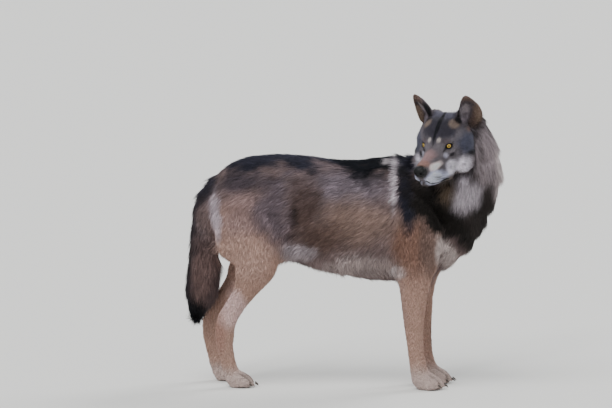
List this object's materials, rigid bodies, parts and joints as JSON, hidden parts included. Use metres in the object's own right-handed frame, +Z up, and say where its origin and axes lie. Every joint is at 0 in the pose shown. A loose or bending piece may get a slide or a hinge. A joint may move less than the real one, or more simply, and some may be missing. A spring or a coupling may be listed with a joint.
{
  "type": "timber wolf, still life-size model",
  "caption": "Standing grey wolf in winter coat, tail hanging, head turned back over its right shoulder; a still, life-size natural history display model.",
  "frame": {"origin": "on the floor, under the middle of the model's box", "axes": "+X from the tail towards the chest, +Y to the animal's left, +Z up"},
  "size_m": [0.9734, 0.3858, 0.8763],
  "materials": {
    "coat_grey": "long winter fur, grey-brown with black tips, darkest along the back",
    "coat_face": "short face fur, dark grey forehead, rusty muzzle, white lips and cheeks",
    "coat_leg": "short flat fur, sandy tan",
    "coat_tail": "bushy fur, grey-brown with a black rear edge and tip",
    "ear": "very short fur, dark rims, grey hair inside",
    "nose": "moist black nose leather",
    "eye": "polished, amber iris",
    "claw": "dark horn, satin"
  },
  "bodies": {
    "root": {"trunk": "coat_grey", "neck": "coat_grey", "head": "coat_face", "leg_front_right": "coat_leg", "leg_front_left": "coat_leg", "leg_hind_right": "coat_leg", "leg_hind_left": "coat_leg", "paw_front_right": "coat_leg", "paw_front_left": "coat_leg", "paw_hind_right": "coat_leg", "paw_hind_left": "coat_leg", "tail": "coat_tail", "ear_right": "ear", "ear_left": "ear", "nose": "nose", "eye_right": "eye", "eye_left": "eye", "claw_front_right_inner": "claw", "claw_front_right_mid_inner": "claw", "claw_front_right_mid_outer": "claw", "claw_front_right_outer": "claw", "claw_front_left_inner": "claw", "claw_front_left_mid_inner": "claw", "claw_front_left_mid_outer": "claw", "claw_front_left_outer": "claw", "claw_hind_right_inner": "claw", "claw_hind_right_mid_inner": "claw", "claw_hind_right_mid_outer": "claw", "claw_hind_right_outer": "claw", "claw_hind_left_inner": "claw", "claw_hind_left_mid_inner": "claw", "claw_hind_left_mid_outer": "claw", "claw_hind_left_outer": "claw"}
  },
  "joints": []
}
